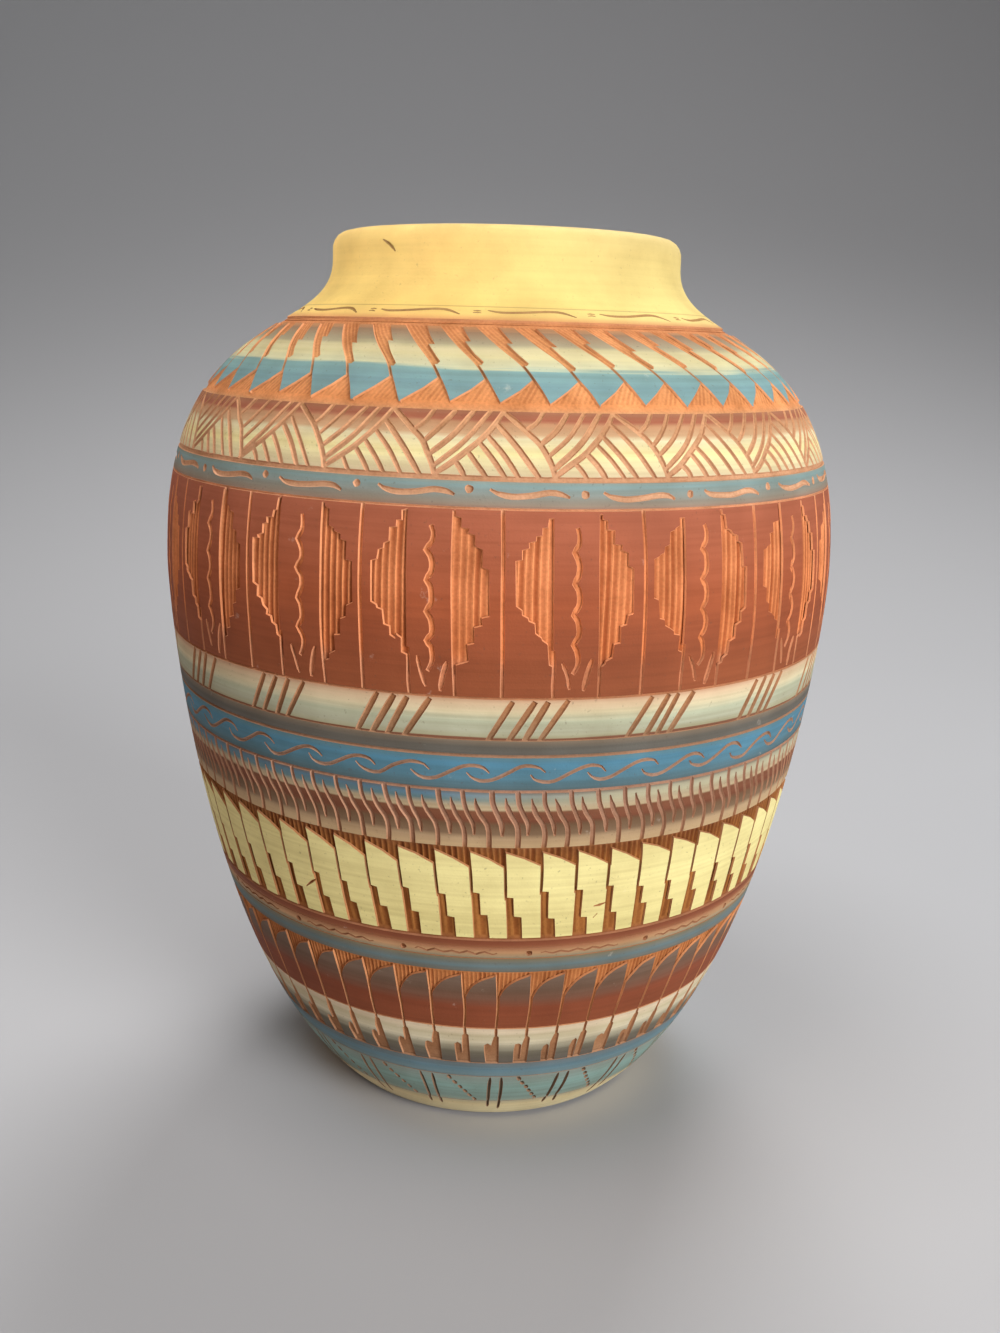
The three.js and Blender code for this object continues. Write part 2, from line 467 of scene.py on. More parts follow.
clay_rows += plain_rows(reached, lip_end - LIP_BEFORE - LIP_GAP)
clay_rows += plain_rows(lip_end - LIP_BEFORE, lip_end + LIP_BEYOND, LIP_ROW)
clay_rows += plain_rows(lip_end + LIP_BEYOND + CLAY_ROW, place_on(clay_line, floor_middle))

clay_points, clay_faces, flute_shades, insides = [], [], [], []
previous_ring = None
for length, columns, turn, depths, strength in clay_rows:
    ring = list(range(len(clay_points), len(clay_points) + columns))
    for k in range(columns):
        across = 2 * (k % FLUTE_POINTS) / FLUTE_POINTS - 1
        depth = strength * depths[k // FLUTE_POINTS] * (1 - across * across) if depths else 0
        clay_points.append((2 * math.pi * k / columns + turn, length * MM, -depth * MM))
        # How deep the flute is here, which sets the painted shade in it
        flute_shades.append(math.sqrt(depth / DEEPEST_FLUTE))
        insides.append(1.0 if length > lip_end else 0.0)
    if previous_ring:
        clay_faces += stitched(previous_ring, ring)
    previous_ring = ring

clay_sheet = bpy.data.meshes.new("clay_sheet")
clay_sheet.from_pydata(clay_points, [], clay_faces)
clay_sheet.attributes.new("hollow", "FLOAT", "POINT").data.foreach_set("value", flute_shades)
clay_sheet.attributes.new("inside", "FLOAT", "POINT").data.foreach_set("value", insides)
clay_guide = line_object("clay_guide", clay_line)
lay("clay_body", clay_sheet, clay_guide, clay, CLAY_WANDER)


# Slip
# Liquid clay with a stain in it, brushed on while the vase turns. The brush leaves fine streaks that
# run round it and draws neighbouring colours into each other. Once fired it is matt, with small rubs
# and specks. Sizes in metres; specks and grain are drawn about three times as coarse as they are.
STREAK_HEIGHT = 0.0011
STREAK_LENGTH = 0.06
STREAK_RELIEF = 0.35
COLOUR_DRIFT = 0.05
RIGHT_FROM = -0.015
RIGHT_TO = 0.03
SLIP_BLOTCH = 0.014
BLOTCH_SHARE = 0.8
SLIP_SPECK = 0.0009
SPECK_TONE = "#5a463a"
SLIP_SCUFF = 0.006
SCUFF_TONE = "#e8d8c6"
SLIP_GRAIN = 0.0006
GRAIN_DEPTH = 0.00012


def slip(name, stops, drift=0.1, rubs=0.35, streaking=0.75, right_stops=None):
    """Matt slip with its colours from the lower edge of a band, at 0, to its upper edge, at 1.

    The brush draws them up and down by the drift, as a share of the band. The right-hand side of
    the vase can have colours of its own: where the slip ran dry, or where the left-hand colours
    carry painted warm light.
    """
    material, add = new_material(name)
    coords = add("ShaderNodeTexCoord").outputs["Object"]
    rise = add("ShaderNodeAttribute", attribute_name="rise").outputs["Fac"]
    drifts, blotches, specks, grain = (
        add("ShaderNodeTexNoise", {"Vector": coords, "Scale": 1 / size, "Detail": detail})
        for size, detail in ((COLOUR_DRIFT, 2), (SLIP_BLOTCH, 4), (SLIP_SPECK, 2), (SLIP_GRAIN, 2)))
    scuffs = add("ShaderNodeTexNoise", {
        "Vector": coords, "Scale": 1 / SLIP_SCUFF, "Detail": 6, "Roughness": 0.7})
    streak_scale = (1 / STREAK_LENGTH, 1 / STREAK_LENGTH, 1 / STREAK_HEIGHT)
    streak_coords = add("ShaderNodeMapping", {"Vector": coords, "Scale": streak_scale})
    streaks = add("ShaderNodeTexNoise", {"Vector": streak_coords, "Scale": 1, "Detail": 3})

    drawn = rise
    for pattern in (drifts, streaks):
        way = add("ShaderNodeMath", {0: pattern, 1: 0.5}, operation="SUBTRACT")
        drawn = add("ShaderNodeMath", {0: way, 1: drift, 2: drawn}, operation="MULTIPLY_ADD")
    tone = add("ShaderNodeValToRGB", {"Fac": drawn})
    set_stops(tone, stops)
    if right_stops:
        right_tone = add("ShaderNodeValToRGB", {"Fac": drawn})
        set_stops(right_tone, right_stops)
        sideways = add("ShaderNodeSeparateXYZ", {"Vector": coords}).outputs["X"]
        right_share = add("ShaderNodeMapRange", {
            "Value": sideways, "From Min": RIGHT_FROM, "From Max": RIGHT_TO})
        tone = add("ShaderNodeMix", {
            "Factor": right_share, MIX_FIRST: tone, MIX_SECOND: right_tone}, **BLEND)
    tone = stained(add, tone, streaks, streaking, [(0.3, "#ebe8e4"), (0.62, "#ffffff")])
    tone = stained(add, tone, blotches, BLOTCH_SHARE, [(0.3, "#e8e4df"), (0.65, "#ffffff")])
    for pattern, full, mark in ((specks, 0.76, SPECK_TONE), (scuffs, 0.78, SCUFF_TONE)):
        mark_share = add("ShaderNodeMapRange", {
            "Value": pattern, "From Min": 0.66, "From Max": full, "To Max": rubs})
        tone = add("ShaderNodeMix", {
            "Factor": mark_share, MIX_FIRST: tone, MIX_SECOND: colour(mark)}, **BLEND)

    roughness = add("ShaderNodeMapRange", {"Value": blotches, "To Min": 0.68, "To Max": 0.84})
    relief = add("ShaderNodeMath", {0: streaks, 1: STREAK_RELIEF, 2: grain}, operation="MULTIPLY_ADD")
    bump = add("ShaderNodeBump", {"Strength": 0.35, "Distance": GRAIN_DEPTH, "Height": relief})
    shader = add("ShaderNodeBsdfPrincipled", {
        "Base Color": tone, "Roughness": roughness, "Specular IOR Level": 0.2, "Normal": bump})
    add("ShaderNodeOutputMaterial", {"Surface": shader})
    return material


# Etched coats
# Each coat is a skin of slip half a millimetre thick. The ornament is cut through it down to the clay
# with a needle or loop tool, which leaves sides that slope a little into the groove.
COAT_THICKNESS = 0.47
GROOVE_SLOPE = 0.24
LEAST_PUSH = 0.6
SHEET_GRID = 3.0
RIM_STEP = 1.5
CLEAR_OF_RIM = 1.1
SEAM_TOLERANCE = 0.001
SAME_SPOT = 1e-4
LINE_STEP = 1.2
TAPER_PARTS = 6
DOT_CORNERS = 10

wall_guide = line_object("wall_guide", wall)


def closely(outline, step=RIM_STEP):
    """A closed outline with no edge longer than the step."""
    close = []
    for a, b in zip(outline, outline[1:] + outline[:1]):
        parts = max(1, math.ceil((b - a).length / step))
        close += [a.lerp(b, k / parts) for k in range(parts)]
    return close


def flat_triangles(band, cuts, row):
    """Points of a band drawn flat, and the triangles of it that no cut takes away."""
    half = band.girth / 2
    corners = ((-half, 0), (half, 0), (half, band.width), (-half, band.width))
    spots = closely([Vector(corner) for corner in corners], SHEET_GRID)
    border_edges = [(k, (k + 1) % len(spots)) for k in range(len(spots))]
    outlines = []
    for cut in cuts:
        turned_left = sum(a.cross(b) for a, b in zip(cut, cut[1:] + cut[:1])) > 0
        cut = cut if turned_left else cut[::-1]
        middle = sum(point.x for point in cut) / len(cut)
        turns = -round(middle / band.girth)
        for turn in (turns - 1, turns, turns + 1):
            shifted = [point + Vector((turn * band.girth, 0)) for point in closely(cut)]
            if max(p.x for p in shifted) > -half and min(p.x for p in shifted) < half:
                outlines.append(list(range(len(spots), len(spots) + len(shifted))))
                spots += shifted
    rims = kdtree.KDTree(len(spots))
    for k, spot in enumerate(spots):
        rims.insert((spot.x, spot.y, 0), k)
    rims.balance()
    for x in even_steps(-half, half, SHEET_GRID)[1:-1]:
        for y in even_steps(0, band.width, row)[1:-1]:
            if rims.find((x, y, 0))[2] > min(CLEAR_OF_RIM, row / 2):
                spots.append(Vector((x, y)))
    points, _, triangles, _, _, cut_through = delaunay_2d_cdt(
        spots, border_edges, outlines, 0, SAME_SPOT, True)
    kept = []
    for triangle, taken in zip(triangles, cut_through):
        centre = sum((points[k] for k in triangle), Vector((0, 0))) / 3
        if not taken and abs(centre.x) < half and 0 < centre.y < band.width:
            kept.append(tuple(triangle))
    return points, kept


def etched_sheet(band, cuts, row):
    """A flat skin of slip without what is cut out, closed all round but for the seam at the back."""
    half = band.girth / 2
    points, kept = flat_triangles(band, cuts, row)
    sides = {(face[k], face[(k + 1) % 3]) for face in kept for k in range(3)}

    def on_seam(k):
        return abs(abs(points[k].x) - half) < SEAM_TOLERANCE

    def seam_key(k):
        return ("seam", round(points[k].y, 2)) if on_seam(k) else k

    def along_seam(a, b):
        return on_seam(a) and abs(points[a].x - points[b].x) < SEAM_TOLERANCE

    rim = [(a, b) for a, b in sides if (b, a) not in sides and not along_seam(a, b)]
    push = defaultdict(lambda: Vector((0, 0)))
    for a, b in rim:
        along = (points[b] - points[a]).normalized()
        for end in (a, b):
            push[seam_key(end)] += Vector((along.y, -along.x))

    used = sorted({k for face in kept for k in face})
    face_index = {k: n for n, k in enumerate(used)}
    skin, rises = [], []
    for depth in (0, COAT_THICKNESS):
        for k in used:
            place = points[k].copy()
            lean = push.get(seam_key(k))
            if depth and lean:
                place += lean.normalized() * GROOVE_SLOPE / max(LEAST_PUSH, lean.length / 2)
            skin.append((place.x / half * math.pi, (band.low + place.y) * MM, -depth * MM))
            rises.append(points[k].y / band.width)
    under = len(used)
    front = [tuple(face_index[k] for k in face) for face in kept]
    back = [(c + under, b + under, a + under) for a, b, c in front]
    rim = [(face_index[a], face_index[b]) for a, b in rim]
    walls = [(a, a + under, b + under, b) for a, b in rim]

    sheet = bpy.data.meshes.new(band.node + "_sheet")
    sheet.from_pydata(skin, [], front + back + walls)
    sheet.attributes.new("rise", "FLOAT", "POINT").data.foreach_set("value", rises)
    is_wall = [False] * (len(front) + len(back)) + [True] * len(walls)
    sheet.attributes.new("cut", "BOOLEAN", "FACE").data.foreach_set("value", is_wall)
    return sheet


def coat(band, cuts, finish, wander=0.0, row=SHEET_GRID):
    """The slip of a band without what is cut out of it, laid on the wall."""
    return lay(band.node, etched_sheet(band, cuts, row), wall_guide, finish, wander)


def through(points):
    """A smooth line through points."""
    knots = [2 * points[0] - points[1]] + points + [2 * points[-1] - points[-2]]
    line = []
    for a, b, c, d in zip(knots, knots[1:], knots[2:], knots[3:]):
        parts = max(1, round((c - b).length / LINE_STEP))
        first, second, third = c - a, 2 * a - 5 * b + 4 * c - d, 3 * (b - c) - a + d
        for k in range(parts):
            t = k / parts
            line.append(b + (first * t + second * t ** 2 + third * t ** 3) / 2)
    return line + [knots[-2]]


def stroke(line, width, start=0.45, end=None):
    """Outline of the groove that a tool of that width cuts along a line.

    It begins and ends with those shares of the width and has all of it after a sixth of its length.
    """
    end = start if end is None else end
    left, right = [], []
    for k, point in enumerate(line):
        along = (line[min(k + 1, len(line) - 1)] - line[max(k - 1, 0)]).normalized()
        share = k / (len(line) - 1)
        opening = start + (1 - start) * TAPER_PARTS * share
        closing = end + (1 - end) * TAPER_PARTS * (1 - share)
        half = width / 2 * min(1, opening, closing)
        left.append(point + half * Vector((-along.y, along.x)))
        right.append(point - half * Vector((-along.y, along.x)))
    return right + left[::-1]


def moved(points, x, y=0.0, slack=0.0):
    """Points shifted along the band, each one a little off as the hand leaves it."""
    return [Vector((x + px + hand.uniform(-slack, slack), y + py + hand.uniform(-slack, slack)))
            for px, py in points]


def pull(points, width, x, y=0.0, slack=0.2, start=0.45, end=None):
    """Outline of the groove of one pull of a tool through points; its width can be a range."""
    line = through(moved(points, x, y, slack))
    if isinstance(width, tuple):
        width = hand.uniform(*width)
    return stroke(line, width, start, end)


def dot(x, y, size):
    """Outline of a round hollow pressed or twisted into the slip."""
    corners = [math.radians(360 / DOT_CORNERS * k) for k in range(DOT_CORNERS)]
    radii = [size / 2 * hand.uniform(0.85, 1.1) for _ in corners]
    return [Vector((x + r * math.cos(a), y + r * math.sin(a))) for a, r in zip(corners, radii)]


def around(band, count, first_degrees):
    """Where a motif starts as it is repeated round a band, the first at an angle from the front."""
    unit = band.girth / count
    return [first_degrees / 360 * band.girth + k * unit for k in range(count)]


# Foot ring
# The lowest band: cream slip down to a narrow bare edge at the foot. The paired lines of the band
# above run out into its upper half as short scratches.
LATTICE_PAIRS = 21
LATTICE_FIRST = 2.9
PAIR_SIDES = (-1.5, 1.5)
FOOT_SCRATCH = 0.8

hand = random.Random(21)
foot_ring = band_of("foot_ring_coat")
top = foot_ring.width
cuts = []
for x in around(foot_ring, LATTICE_PAIRS, LATTICE_FIRST):
    for side in PAIR_SIDES:
        reach = hand.uniform(4, 7)
        cuts.append(pull([(side, top + 1), (side + 0.1, top - reach)], FOOT_SCRATCH, x))
cream = slip("cream_slip", [(0, "#d9cda7"), (0.35, "#ded0a6"), (0.8, "#d8c69a"), (1, "#bab094")])
coat(foot_ring, cuts, cream)


# Foot lattice
# Teal slip above the foot, with pairs of upright scratches and a row of short dashes that steps
# down from each pair to the next.
LATTICE_SCRATCH = 1.0
LATTICE_DASH = 1.3
LATTICE_DASHES = 6
DASHES_FROM = 5.5
DASHES_LENGTH = 7.5

hand = random.Random(22)
lattice = band_of("foot_lattice_coat")
top = lattice.width
cuts = []
for x in around(lattice, LATTICE_PAIRS, LATTICE_FIRST):
    for side in PAIR_SIDES:
        scratch = [(side, top - 0.3), (side + 0.15, top / 2), (side + 0.1, -1)]
        cuts.append(pull(scratch, LATTICE_SCRATCH, x))
    for k in range(LATTICE_DASHES):
        share = (k + 0.5) / LATTICE_DASHES
        dash_x, dash_y = DASHES_FROM + DASHES_LENGTH * share, top * (1 - share)
        dash = [(dash_x - 0.3, dash_y + 1.0), (dash_x, dash_y), (dash_x + 0.3, dash_y - 1.0)]
        cuts.append(stroke(moved(dash, x, slack=0.15), LATTICE_DASH, start=0.6))
teal = slip("teal_slip", [(0, "#99a493"), (0.15, "#83978e"), (0.6, "#88a59d"), (1, "#8e978e")])
coat(lattice, cuts, teal)


# Foot blue ring
# A plain ring of blue slip that closes off the foot.
blue = slip("blue_slip", [(0, "#75898c"), (0.5, "#688692"), (1, "#6f7575")])
coat(band_of("foot_blue_coat"), [], blue)


# Feather roots
# White slip over grey-blue. Under each pointed feather two flat gouges, one long and one short,
# stand side by side like steps, and a stem runs up from the long one.
POINTED_FEATHERS = 56
POINTED_FIRST = 2.3
STEM_WIDTH = 0.8

hand = random.Random(24)
roots = band_of("feather_root_coat")
top = roots.width
cuts = []
for x in around(roots, POINTED_FEATHERS, POINTED_FIRST):
    tall, short = top - hand.uniform(0.2, 3.5), hand.uniform(6.5, 9)
    long_gouge = [(-0.8, -0.5), (1.4, -0.5), (1.0, tall - 0.8), (0.2, tall),
                  (-0.6, tall - 0.8), (-1.0, tall - 4)]
    short_gouge = [(-2.5, -0.5), (-0.7, -0.5), (-1.0, short - 0.8), (-1.9, short),
                   (-2.7, short - 0.7), (-3.0, short - 3)]
    cuts.append(moved(long_gouge, x, slack=0.2))
    cuts.append(moved(short_gouge, x, slack=0.2))
    cuts.append(pull([(0, top + 0.6), (0.05, tall - 1)], STEM_WIDTH, x, slack=0, start=0.8))
root_slip = slip("white_and_grey_slip", [
    (0, "#625a52"), (0.3, "#6f6859"), (0.48, "#a59e87"),
    (0.62, "#d4c9ac"), (0.78, "#cbbe9c"), (0.97, "#e0cbae")])
coat(roots, cuts, root_slip, wander=0.5)


# Pointed feathers
# Grey slip that fades to rust, cut into upright feathers. A line parts them, and above each rounded
# shoulder the slip is scraped away up to the next point.
PARTING_WIDTH = 0.85

hand = random.Random(25)
top = pointed.width
unit = pointed.girth / POINTED_FEATHERS
cuts = []
for x in around(pointed, POINTED_FEATHERS, POINTED_FIRST):
    parting = [(0, -0.6), (0.1, top * 0.3), (0, top * 0.65), (-0.3, top + 0.6)]
    cuts.append(pull(parting, PARTING_WIDTH, x, slack=0.12, start=0.9))
    arch = [(0.1, top * 0.5), (0.8, top * 0.63), (2.2, top * 0.77), (4.4, top * 0.89),
            (unit - 0.9, top * 0.975)]
    arch = through(moved(arch, x, slack=0.15))
    cuts.append(arch + moved([(unit - 0.2, top + 0.6), (0, top + 0.6)], x))
rust_and_grey = slip("rust_and_grey_slip", [
    (0, "#89492d"), (0.4, "#88472d"), (0.55, "#7b5340"), (0.7, "#715746"), (1, "#7e6a5c")])
coat(pointed, cuts, rust_and_grey, wander=0.5)


# Grey-blue, tan and rust rings
# Three narrow rings of slip side by side under the stair feathers. The tan one carries a fine
# ripple, scratched in dashes with a dot between them.
RIPPLES = 16
RIPPLE_FIRST = -15.0
RIPPLE_START = 3
RIPPLE_LENGTH = 21.0
RIPPLE_SWING = 0.35
RIPPLE_POINTS = 20
RIPPLE_WIDTH = 0.6
RIPPLE_DOT = 1.8

grey_blue = slip("grey_blue_slip", [
    (0, "#756d60"), (0.45, "#687b7f"), (0.75, "#75786e"), (1, "#86785c")])
coat(band_of("grey_blue_ring_coat"), [], grey_blue)

hand = random.Random(26)
scroll = band_of("tan_scroll_coat")
middle = scroll.width * 0.5
ripple = []
for k in range(RIPPLE_POINTS + 1):
    swing = RIPPLE_SWING * math.sin(k * math.pi / 2)
    ripple.append((RIPPLE_START + RIPPLE_LENGTH * k / RIPPLE_POINTS, middle + swing))
cuts = []
for x in around(scroll, RIPPLES, RIPPLE_FIRST):
    cuts.append(pull(ripple, RIPPLE_WIDTH, x, slack=0.1))
    cuts.append(dot(x, middle, RIPPLE_DOT))
tan = slip("tan_slip", [(0, "#978d74"), (0.5, "#c0956c"), (1, "#a87150")])
coat(scroll, cuts, tan)

rust = slip("rust_slip", [(0, "#9a6242"), (0.5, "#8b4e34"), (1, "#7e442b")])
coat(band_of("rust_ring_coat"), [], rust)


# Stair feathers
# Pale yellow slip, cut into broad upright feathers. Their slanting tops leave a row of saw teeth in
# bare clay, and two gouges between them climb like stairs. Three chance nicks of the tool cross them.
STAIR_FEATHERS = 63
STAIR_FIRST = -3.0
STAIR_PARTING = 0.8
STAIR_NICKS = (
    ((18.0, 8.7), (19.1, 8.9), (20.2, 9.4)),
    ((18.2, 5.0), (18.9, 6.3)),
    ((-33.5, 7.2), (-32.0, 9.2), (-30.5, 10.9)),
)
NICK_WIDTH = 0.8


def nick(band, marks, width):
    """Outline of a chance mark through points in degrees from the front and millimetres up a band."""
    return stroke([Vector((degrees / 360 * band.girth, y)) for degrees, y in marks], width, start=0.3)


hand = random.Random(27)
top = stairs.width
unit = stairs.girth / STAIR_FEATHERS
cuts = []
for x in around(stairs, STAIR_FEATHERS, STAIR_FIRST):
    x += hand.uniform(-0.4, 0.4)
    tall, short = top * 0.5 + hand.uniform(-0.8, 1.6), top * 0.25 + hand.uniform(-0.8, 0.8)
    parting = [(-0.5, top), (0, top * 0.75), (0.4, tall - 1)]
    cuts.append(pull(parting, STAIR_PARTING, x, slack=0.12, start=0.8))
    cuts.append(moved([(1.0, -0.6), (3.0, -0.6), (2.2, tall - 0.3), (0.2, tall)], x, slack=0.12))
    cuts.append(moved([(2.8, -0.6), (5.0, -0.6), (4.4, short - 0.2), (2.4, short)], x, slack=0.12))
    dip = top - hand.uniform(4.6, 5.8)
    tooth = [(-0.6, top - 0.4), (unit * 0.5, (top + dip) / 2 + 0.1), (unit + 0.2, dip),
             (unit - 0.2, top + 0.6), (-0.6, top + 0.6)]
    cuts.append(moved(tooth, x, slack=0.1))
cuts += [nick(stairs, marks, NICK_WIDTH) for marks in STAIR_NICKS]
pale_yellow = slip("pale_yellow_slip", [
    (0, "#e7da95"), (0.3, "#eddf9a"), (0.8, "#efe29e"), (1, "#e7d797")])
coat(stairs, cuts, pale_yellow, wander=0.5)


# Ribs
# Soft stripes of cream, brown, rust and teal slip, crossed by S-shaped ribs cut with a narrow tool.
# They hang from its upper edge and stand on its lower edge by turns. The teal ran dry on the right.
RIBS = 88
RIB_FIRST = 8.2
RIB_WIDTHS = (1.1, 1.4)
HANGING_RIB = ((0, 15.7), (0.3, 12.2), (1.4, 9.2), (2.7, 6.4), (3.0, 3.3))
STANDING_RIB = ((-0.2, 13.6), (0.2, 12), (1.2, 9.2), (2.9, 6.2), (3.5, 3.2), (3.5, -0.6))

hand = random.Random(28)
ribs = band_of("rib_coat")
unit = ribs.girth / RIBS
cuts = []
for x in around(ribs, RIBS, RIB_FIRST):
    x += hand.uniform(-0.4, 0.4)
    cuts.append(pull(HANGING_RIB, RIB_WIDTHS, x, slack=0.15, start=1, end=0.45))
    x += unit / 2 + hand.uniform(-0.4, 0.4)
    cuts.append(pull(STANDING_RIB, RIB_WIDTHS, x, slack=0.15, start=0.25, end=1))
stripes = [(0, "#c4a67e"), (0.16, "#b69976"), (0.25, "#82684f"), (0.42, "#70543c"),
           (0.48, "#7a4832"), (0.65, "#805038"), (0.69, "#bba582"), (0.76, "#b6a486")]
teal_top = [(0.84, "#688387"), (0.94, "#5f7f93"), (1, "#6a6d6e")]
dry_top = [(0.84, "#bbb495"), (0.94, "#b0aa91"), (1, "#7d7263")]
rib_stripes = slip("striped_slip", stripes + teal_top, drift=0.06, right_stops=stripes + dry_top)
coat(ribs, cuts, rib_stripes, wander=0.6)


# Waves
# A clear blue band with running waves, each one a single thin stroke that starts under the last.
WAVES = 41
WAVE_FIRST = 5.6
WAVE_WIDTH = 0.95
WAVE_STROKE = ((0, 4.3), (1.0, 3.1), (3.2, 2.2), (6, 2.5), (9.5, 4.4), (12.5, 5.9),
               (15, 6.3), (17.3, 5.7), (18.6, 4.4))

hand = random.Random(29)
waves = band_of("wave_coat")
cuts = []
for x in around(waves, WAVES, WAVE_FIRST):
    x += hand.uniform(-0.8, 0.8)
    cuts.append(pull(WAVE_STROKE, WAVE_WIDTH, x, hand.uniform(-0.3, 0.3), slack=0.15, start=0.4))
wave_blue = slip("sky_blue_slip", [
    (0, "#586c71"), (0.3, "#587f8f"), (0.8, "#5588a1"), (1, "#60838c")])
coat(waves, cuts, wave_blue, wander=0.4)


# Dark ring
# A narrow ring of dark grey slip under the stroke groups.
dark = slip("dark_grey_slip", [(0, "#68645d"), (0.5, "#67635b"), (1, "#857563")])
coat(band_of("dark_ring_coat"), [], dark)


# Stroke groups
# Cream slip over grey-green, crossed by groups of four slanting strokes, each cut in one pull.
STROKE_GROUPS = 18
GROUP_FIRST = -0.7
GROUP_SHIFT = 1
STROKE_FEET = (0, 4.3, 8.3, 11.8)
STROKE_LEANS = (5.8, 5.8, 5.3, 6.4)
STROKE_WIDTHS = (1.4, 1.7)

hand = random.Random(31)
groups = band_of("stroke_group_coat")
cuts = []
for x in around(groups, STROKE_GROUPS, GROUP_FIRST):
    x += GROUP_SHIFT + hand.uniform(-0.6, 0.6)
    for foot_x, lean in zip(STROKE_FEET, STROKE_LEANS):
        foot_x += hand.uniform(-0.5, 0.5)
        slanted = [(foot_x, -0.5), (foot_x + lean, groups.width - 0.2)]
        cuts.append(pull(slanted, STROKE_WIDTHS, x, start=0.8))
cream_green = slip("cream_and_green_slip", [
    (0, "#835640"), (0.03, "#835640"), (0.055, "#aaa585"), (0.2, "#b2b299"),
    (0.45, "#bbbfa3"), (0.65, "#dccfaa"), (0.9, "#dabc99"), (1, "#caa07f")], drift=0.16)
coat(groups, cuts, cream_green, wander=0.3)


# Stepped panel
# The widest band: rust-red slip, ruled into panels by upright lines. Gouged columns of falling length
# make a stepped half diamond on each side of a panel, and a wavering line with two ticks stands
# between them.
PANELS = 18
PANEL_FIRST = 1.0
PANEL_LEAN = 1.0
RULED_WIDTH = 1.05
SHORT_RULED_WIDTH = 1.0
LEFT_LINE = 11.2
LEFT_COLUMN = 1.45
LEFT_TOPS = (42.6, 39.6, 38.2, 36.2, 34.4, 32.0)
LEFT_FEET = (8.4, 12.2, 13.9, 16.4, 18.6, 21.2)
RIGHT_LINE = 22.5
RIGHT_COLUMN = 1.65
RIGHT_TOPS = (42.4, 38.8, 37.2, 34.2, 29.8)
RIGHT_FEET = (6.2, 8.0, 11.4, 15.2, 18.6)
MIDDLE_LINE = 16.7
SWAY = ((-0.75, 0), (0.4, 1.8), (0.65, 3.9), (0.2, 5.6))
SWAY_WIDTH = 1.45
SWAY_START = 5.8
SWAY_RISE = 7.0
SWAYS = 5
LEFT_TICK = ((-3.2, 8.8), (-2.1, 5.4), (-1.3, 1.8))
RIGHT_TICK = ((3.9, 8.8), (2.8, 5.2), (2.1, 1.2))
TICK_WIDTHS = (1.1, 1.4)


def stepped_half(x, tops, feet, column):
    """Outline of gouged columns side by side, from an upright line out to one side."""
    upper, lower = [], []
    for k, (high, low) in enumerate(zip(tops, feet)):
        high += hand.uniform(-1.3, 0.9)
        low += hand.uniform(-1.2, 1.4)
        near = x + (k + hand.uniform(0, 0.1)) * column
        far = x + (k + hand.uniform(0.85, 1.1)) * column
        upper += moved([(near, high), (far, high - 0.4)], 0, slack=0.2)
        lower += moved([(near, low), (far, low + 0.6)], 0, slack=0.2)
    return upper + lower[::-1]


def ruled(x, low, high, width, start):
    """Outline of a line ruled up the band, which wavers a little."""
    heights = (low, low * 0.7 + high * 0.3, low * 0.3 + high * 0.7, high)
    return pull([(0, y) for y in heights], width, x, slack=0.18, start=start)


hand = random.Random(32)
top = panel.width
cuts = []
for x in around(panel, PANELS, PANEL_FIRST):
    cuts.append(ruled(x, -0.5, top + 0.5, RULED_WIDTH, start=1))
    left = x + LEFT_LINE + hand.uniform(-0.6, 0.6)
    right = x + RIGHT_LINE + hand.uniform(-0.6, 0.6)
    cuts.append(ruled(left, -0.5, LEFT_FEET[0] + 3, SHORT_RULED_WIDTH, start=0.9))
    cuts.append(ruled(right, -0.5, top - 0.4, RULED_WIDTH, start=0.8))
    cuts.append(stepped_half(left, LEFT_TOPS, LEFT_FEET, -LEFT_COLUMN))
    cuts.append(stepped_half(right, RIGHT_TOPS, RIGHT_FEET, RIGHT_COLUMN))
    middle = x + MIDDLE_LINE + hand.uniform(-0.4, 0.4)
    swing = [(sx, SWAY_START + SWAY_RISE * k + sy) for k in range(SWAYS) for sx, sy in SWAY]
    cuts.append(pull(swing, SWAY_WIDTH, middle, slack=0.15, start=0.7))
    for tick, width in zip((LEFT_TICK, RIGHT_TICK), TICK_WIDTHS):
        cuts.append(pull(tick, width, middle, hand.uniform(-0.6, 0.4), slack=0.3, start=0.5))
cuts = [[point + Vector((PANEL_LEAN * (0.5 - point.y / top), 0)) for point in cut] for cut in cuts]
rust_red = slip("rust_red_slip", [(0, "#965232"), (0.3, "#9a5132"), (0.5, "#a75735"), (1, "#ad6348")])
coat(panel, cuts, rust_red, wander=0.4)


# Dashes and dots
# A narrow blue-grey band with long wavering dashes and a twisted dot between each two.
DASHES = 22
DASH_FIRST = -1.4
DASH_WIDTH = 1.4
DASH_STROKE = ((0, 4.1), (1.6, 3.1), (5, 2.6), (9.5, 2.8), (13.5, 3.4), (16.2, 3.2), (18, 2.4))
DOT_PLACE = (21.8, 3.2)
DOT_SIZE = 2.0

hand = random.Random(33)
dashes = band_of("dash_and_dot_coat")
dot_x, dot_y = DOT_PLACE
cuts = []
for x in around(dashes, DASHES, DASH_FIRST):
    dash_x, dash_y = x + hand.uniform(-0.6, 0.6), hand.uniform(-0.4, 0.3)
    cuts.append(pull(DASH_STROKE, DASH_WIDTH, dash_x, dash_y, slack=0.15))
    cuts.append(dot(x + dot_x, dot_y + hand.uniform(-0.4, 1), DOT_SIZE))
blue_grey = slip("blue_grey_slip", [
    (0, "#9d7f6c"), (0.14, "#958777"), (0.35, "#8e8d82"), (0.85, "#859d9c"), (1, "#90998e")])
coat(dashes, cuts, blue_grey, wander=0.3)


